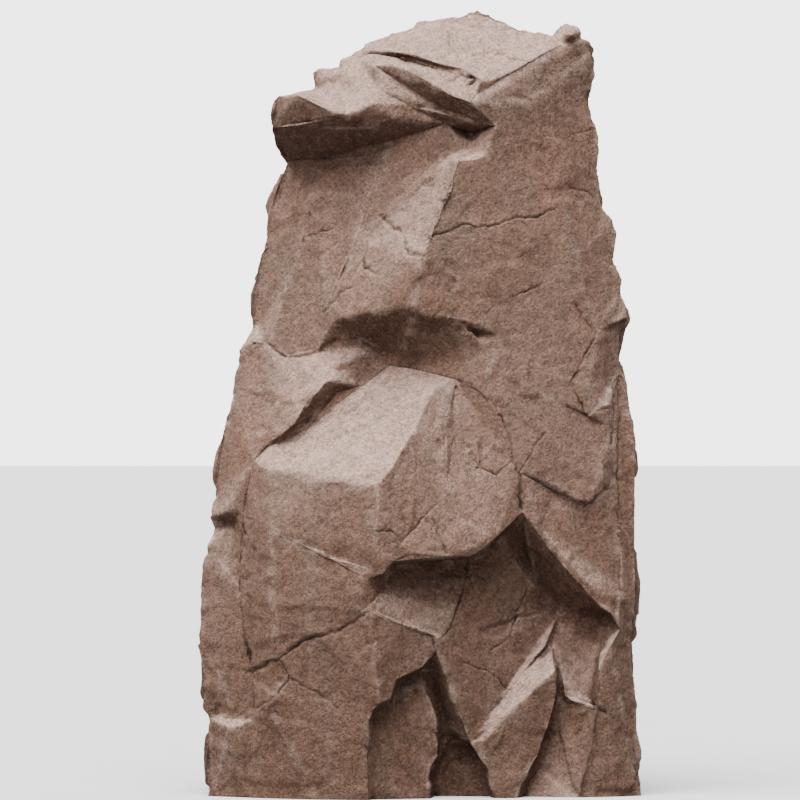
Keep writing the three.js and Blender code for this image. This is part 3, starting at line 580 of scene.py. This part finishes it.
# Dirt and painted shade in valleys and cracks.
CREVICE_DIRT_AND_SHADE = (0.022, 0.013, 0.01, 1)

PLATE_SLOPE = 0.629  # the line that borders the top plate climbs this much per metre across
PLATE_BORDER = (1.30, 1.27)  # just above the line, and just below it
PLATE_FOOT = (1.24, 1.33)  # the height where the border starts to count


def times(tree, a, b):
    return sums(tree, "MULTIPLY", a, b)


def coat_masks(tree, place):
    """Where dusty tops take painted top light, where a face looks down for painted shade, and a band of
    the end face that gets no dusting and turns darker.
    """
    facing = node(tree, "ShaderNodeNewGeometry").outputs["Normal"]
    facing_up = node(tree, "ShaderNodeSeparateXYZ", {0: facing}).outputs["Z"]
    corners = node(tree, "ShaderNodeSeparateXYZ", {0: place}).outputs
    across, height = corners["X"], corners["Z"]
    lie = sums(tree, "ADD", times(tree, stored(tree, "upward"), 0.75), times(tree, facing_up, 0.25))
    # Higher up the level is raised, which paints top light on the steeper plate top.
    dust_and_light_level = sums(tree, "ADD", lie, remap(tree, height, 1.25, 1.45, 0.0, 0.2))
    border = sums(tree, "SUBTRACT", height, times(tree, across, PLATE_SLOPE))
    # A band of the end face below the plate's border: no dusting there, and darker towards the border.
    end_face_band = times(tree, remap(tree, height, *PLATE_FOOT), remap(tree, border, *PLATE_BORDER))
    kept = sums(tree, "SUBTRACT", 1.0, end_face_band)
    dust_and_top_light = times(tree, remap(tree, dust_and_light_level, 0.16, 0.66), kept)
    end_face_darkening = times(tree, end_face_band, remap(tree, border, 1.08, 1.25, 0.0, 0.6))
    # Painted shade on faces that look down.
    underside_shade = remap(tree, lie, -0.12, -0.6)
    return dust_and_top_light, end_face_darkening, underside_shade, height


def coated_rock():
    """Stone-chip coat: pale on dusty tops with painted top light, red-brown below, darker near the ground,
    painted shade beneath overhangs and where the sky is hidden, and dirt with painted shade in valleys and
    cracks.
    """
    made, tree, shader, place = new_material("coated_rock")
    chips = use(tree, STONE_CHIPS, {"Vector": place, "Chip": 4.0, "Contrast": 1.25})
    stain = use(tree, BROAD_STAIN, {"Vector": place})
    dust_and_top_light, end_face_darkening, underside_shade, height = coat_masks(tree, place)
    # Painted shade where the sky is hidden from the skin.
    painted_sky_shade_mask = remap(tree, stored(tree, "painted_sky_shade"), 0.45, 0.98)
    worn = times(tree, stored(tree, "edge_wear"), remap(tree, stain["Blotch"], 0.1, 0.8))

    colour = blend(tree, stain["Patch"], COAT_RED, COAT_PALE)
    colour = blend(tree, remap(tree, height, 0.1, 0.8), DAMP_FOOT, colour)
    for mask, layer in [
        (times(tree, stain["Streak"], 0.5), GREY_STREAK),
        (times(tree, stain["Blotch"], 0.3), BLOTCH),
        # Dusting with painted top light.
        (times(tree, dust_and_top_light, 0.85), DUST_AND_TOP_LIGHT),
        (end_face_darkening, END_FACE_DARK),
        (times(tree, painted_sky_shade_mask, 0.82), PAINTED_SKY_SHADE),
        # Painted shade on faces that look down.
        (times(tree, underside_shade, 0.5), PAINTED_UNDERSIDE_SHADE),
        (times(tree, worn, 0.35), WORN),
        # Dirt and painted shade in valleys and cracks.
        (remap(tree, stored(tree, "crevice_dirt_and_shade"), 0.2, 0.85, 0.0, 0.9), CREVICE_DIRT_AND_SHADE),
    ]:
        colour = blend(tree, mask, colour, layer)
    mottle = remap(tree, clouds(tree, place, 48, 4, 0.6), 0.34, 0.66, 0.93, 1.22)
    speckle = times(tree, mottle, sums(tree, "ADD", 1.0, times(tree, chips["Tone"], 0.8)))
    grey = node(tree, "ShaderNodeCombineColor", {0: speckle, 1: speckle, 2: speckle}).outputs[0]
    colour = blend(tree, 1.0, colour, grey, "MULTIPLY")
    colour = blend(tree, remap(tree, chips["Hue"], 0.82, 0.95, 0.0, 0.3), colour, PINK_CHIP)
    tree.links.new(colour, shader.inputs["Base Color"])
    tree.links.new(remap(tree, chips["Hue"], 0.0, 1.0, 0.82, 0.97), shader.inputs["Roughness"])
    shader.inputs["Specular IOR Level"].default_value = 0.25
    lumps = times(tree, clouds(tree, place, 55, 8, 0.72), 6.0)
    bump(tree, shader, sums(tree, "ADD", chips["Height"], lumps), 0.0017)
    return made


FIBRE = (420, 420, 14)  # noise this much finer across a fibre than along it


def raw_laminate(name, colour, dark):
    """Bare glass mat in resin: short crossing fibres, with brush marks and thick and thin places."""
    made, tree, shader, place = new_material(name)
    turned = [
        node(tree, "ShaderNodeMapping", {"Vector": place, "Rotation": turn, "Scale": FIBRE}).outputs[0]
        for turn in ((0.2, 0.9, 0.4), (1.1, -0.3, 1.7))
    ]
    fibres = sums(tree, "MAXIMUM", clouds(tree, turned[0], 1.0, 2), clouds(tree, turned[1], 1.0, 2))
    pooled = clouds(tree, place, 14, 4)
    tone = blend(tree, remap(tree, pooled, 0.35, 0.7), dark, colour)
    pale = tuple(min(c * 1.35, 1) for c in colour[:3]) + (1,)
    tone = blend(tree, remap(tree, fibres, 0.55, 0.75, 0.0, 0.6), tone, pale)
    tree.links.new(tone, shader.inputs["Base Color"])
    tree.links.new(remap(tree, pooled, 0.3, 0.7, 0.35, 0.65), shader.inputs["Roughness"])
    bump(tree, shader, fibres, 0.0008)
    return made


def galvanised():
    """Hot-dipped zinc: grey spangle with dull patches."""
    made, tree, shader, place = new_material("galvanised_steel_finish")
    spangle = cells(tree, place, 140)
    shade = node(tree, "ShaderNodeSeparateColor", {0: spangle.outputs["Color"]}).outputs[0]
    dull = remap(tree, clouds(tree, place, 22, 4), 0.4, 0.7)
    tone = blend(tree, shade, (0.46, 0.48, 0.49, 1), (0.66, 0.68, 0.69, 1))
    tone = blend(tree, sums(tree, "MULTIPLY", dull, 0.6), tone, (0.40, 0.41, 0.41, 1))
    tree.links.new(tone, shader.inputs["Base Color"])
    tree.links.new(remap(tree, dull, 0, 1, 0.32, 0.62), shader.inputs["Roughness"])
    shader.inputs["Metallic"].default_value = 0.9
    bump(tree, shader, clouds(tree, place, 300, 3), 0.0002)
    return made


def zinc_plate():
    """Bright plated fasteners with a faint yellow cast and handling marks."""
    made, tree, shader, place = new_material("zinc_plated_finish")
    marks = clouds(tree, place, 180, 5, 0.7)
    tone = blend(tree, remap(tree, marks, 0.4, 0.7), (0.62, 0.61, 0.55, 1), (0.80, 0.80, 0.78, 1))
    tree.links.new(tone, shader.inputs["Base Color"])
    tree.links.new(remap(tree, marks, 0.3, 0.7, 0.22, 0.42), shader.inputs["Roughness"])
    shader.inputs["Metallic"].default_value = 1.0
    bump(tree, shader, clouds(tree, place, 900, 2), 0.0001)
    return made


def black_rubber():
    """Matt rubber with a grey bloom."""
    made, tree, shader, place = new_material("black_rubber_finish")
    bloom = remap(tree, clouds(tree, place, 60, 4), 0.45, 0.7)
    tone = blend(tree, bloom, (0.018, 0.018, 0.018, 1), (0.055, 0.053, 0.05, 1))
    tree.links.new(tone, shader.inputs["Base Color"])
    tree.links.new(remap(tree, bloom, 0, 1, 0.7, 0.9), shader.inputs["Roughness"])
    bump(tree, shader, clouds(tree, place, 700, 3), 0.0002)
    return made


# ================= the pieces =================

ROCK = coated_rock()
INSIDE = raw_laminate("raw_laminate", (0.46, 0.40, 0.29, 1), (0.30, 0.24, 0.16, 1))
STRIP = raw_laminate("joint_laminate", (0.13, 0.085, 0.062, 1), (0.08, 0.05, 0.036, 1))
PASTE = raw_laminate("edge_paste", (0.075, 0.046, 0.034, 1), (0.05, 0.03, 0.022, 1))
STEEL = galvanised()
PLATED = zinc_plate()
RUBBER = black_rubber()


def add_casting(name, made, skin):
    """Makes the finished piece: coat outside, bare laminate inside, dark paste on the rims."""
    for face in made.faces:
        rim = any(f[skin] for v in face.verts for f in v.link_faces)
        face.material_index = 0 if face[skin] else (2 if rim else 1)
        face.smooth = bool(face[skin])
    data = bpy.data.meshes.new(f"{name}_skin")
    made.to_mesh(data)
    made.free()
    for finish in (ROCK, INSIDE, PASTE):
        data.materials.append(finish)
    piece = bpy.data.objects.new(f"{name}_cast", data)
    bpy.context.scene.collection.objects.link(piece)
    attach(piece, ROOT)
    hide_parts(name)


def build_castings():
    meshes = {name: merged_copy(name) for name in CASTINGS}
    for made in meshes.values():
        made.verts.index_update()
    tree = tree_of(meshes)
    ridge_points, deep_points = [], []
    skins = {}
    for name, made in meshes.items():
        skin = made.faces.layers.int.new("weathered")
        skins[name] = skin
        outward = 1 if name == "rear_shell" else -1
        for face in made.faces:
            face[skin] = is_weathered(face, tree, outward)
        ridges, deep = fold_points(made, skin)
        ridge_points += ridges
        deep_points += deep
    ridges, deep = kd_of(ridge_points), kd_of(deep_points)
    for name, made in meshes.items():
        refine(name, made, skins[name], ridges, deep)
    seams = seam_points(meshes, skins)
    for name, made in meshes.items():
        weather(name, made, skins[name], tree, ridges, deep, seams)
        add_casting(name, made, skins[name])


def finish_carried_nodes():
    """The steelwork, strips and fasteners keep their shapes and get their finishes."""
    finishes = {"laminate": STRIP, "rubber": RUBBER, "galvanised_steel": STEEL, "zinc": PLATED}
    for row in frame["record"]["subparts"]:
        finish = finishes.get(row["material_slot"])
        if finish is None:
            continue
        obj = frame["nodes"][row["node"]]
        if not obj.material_slots:
            obj.data.materials.append(finish)
        for used in obj.material_slots:
            used.material = finish


# ================= studio =================

VIEW_CENTRE = (-0.039, 0.775)  # across and up
VIEW_WIDTH = 1.5624
DISTANCE = 12.0
SENSOR = 36
FLOOR_SIZE = 60


def build_floor():
    """Pale to the camera, but dull to every other ray, so that it throws little light upwards."""
    made = bmesh.new()
    bmesh.ops.create_grid(made, x_segments=1, y_segments=1, size=FLOOR_SIZE)
    data = bpy.data.meshes.new("floor")
    made.to_mesh(data)
    made.free()
    floor = bpy.data.objects.new("floor", data)
    bpy.context.scene.collection.objects.link(floor)
    paint, tree, shader, place = new_material("pale_floor")
    tone = blend(tree, clouds(tree, place, 3, 2), (0.86, 0.86, 0.86, 1), (0.90, 0.90, 0.90, 1))
    seen = node(tree, "ShaderNodeLightPath").outputs["Is Camera Ray"]
    tone = blend(tree, seen, (0.30, 0.29, 0.28, 1), tone)
    tree.links.new(tone, shader.inputs["Base Color"])
    shader.inputs["Roughness"].default_value = 0.95
    shader.inputs["Specular IOR Level"].default_value = 0.0
    data.materials.append(paint)


def build_camera():
    data = bpy.data.cameras.new("camera")
    camera = bpy.data.objects.new("camera", data)
    bpy.context.scene.collection.objects.link(camera)
    reach = DISTANCE - cad_box[0].y * 0.5
    data.sensor_width = SENSOR
    data.lens = SENSOR * DISTANCE / VIEW_WIDTH
    data.clip_end = 100
    camera.location = (VIEW_CENTRE[0], -reach, VIEW_CENTRE[1])
    camera.rotation_euler = (math.pi / 2, 0, 0)
    bpy.context.scene.camera = camera


def soft_sun(name, towards, strength, spread):
    data = bpy.data.lights.new(name, "SUN")
    data.angle = math.radians(spread)
    data.energy = strength
    lamp = bpy.data.objects.new(name, data)
    lamp.rotation_euler = Vector(towards).to_track_quat("-Z", "Y").to_euler()
    bpy.context.scene.collection.objects.link(lamp)


def build_light():
    soft_sun("overhead", (0.15, 0.36, -1), 6.4, 60)
    soft_sun("front_left", (0.6, 1.0, -0.7), 2.7, 90)
    soft_sun("rear_fill", (-0.5, -1.0, -0.45), 2.0, 90)
    world = bpy.data.worlds.new("studio")
    bpy.context.scene.world = world
    world.use_nodes = True
    tree = world.node_tree
    fill = tree.nodes["Background"]
    fill.inputs["Strength"].default_value = 0.3
    seen = node(tree, "ShaderNodeBackground", {"Color": (1, 1, 1, 1), "Strength": 4.0})
    ray = node(tree, "ShaderNodeLightPath").outputs["Is Camera Ray"]
    both = node(tree, "ShaderNodeMixShader", {0: ray, 1: fill.outputs[0], 2: seen.outputs[0]})
    tree.links.new(both.outputs[0], tree.nodes["World Output"].inputs["Surface"])


build_castings()
finish_carried_nodes()
build_floor()
build_camera()
build_light()
